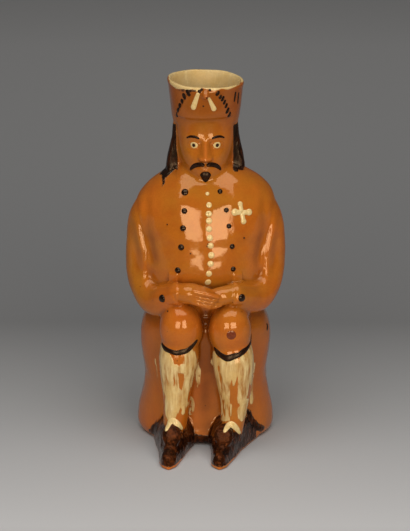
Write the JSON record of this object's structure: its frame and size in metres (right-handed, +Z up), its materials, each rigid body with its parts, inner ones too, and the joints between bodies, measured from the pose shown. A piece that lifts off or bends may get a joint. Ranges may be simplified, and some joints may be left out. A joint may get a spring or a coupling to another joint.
{
  "type": "toby jug",
  "caption": "Hollow glazed figure jug of a seated man with his hands in his lap; the flared hat is the mouth and a strap handle stands at the back.",
  "frame": {"origin": "middle of the flat underside, on the axis of the thrown body, where the jug stands", "axes": "+Z up through the hat's mouth, the figure faces -Y, +X is on his left side"},
  "size_m": [0.1308, 0.1731, 0.3023],
  "materials": {
    "glazed_redware": "glossy lead glaze over red clay and brushed slip"
  },
  "bodies": {
    "root": {"jug": "glazed_redware"}
  },
  "joints": []
}
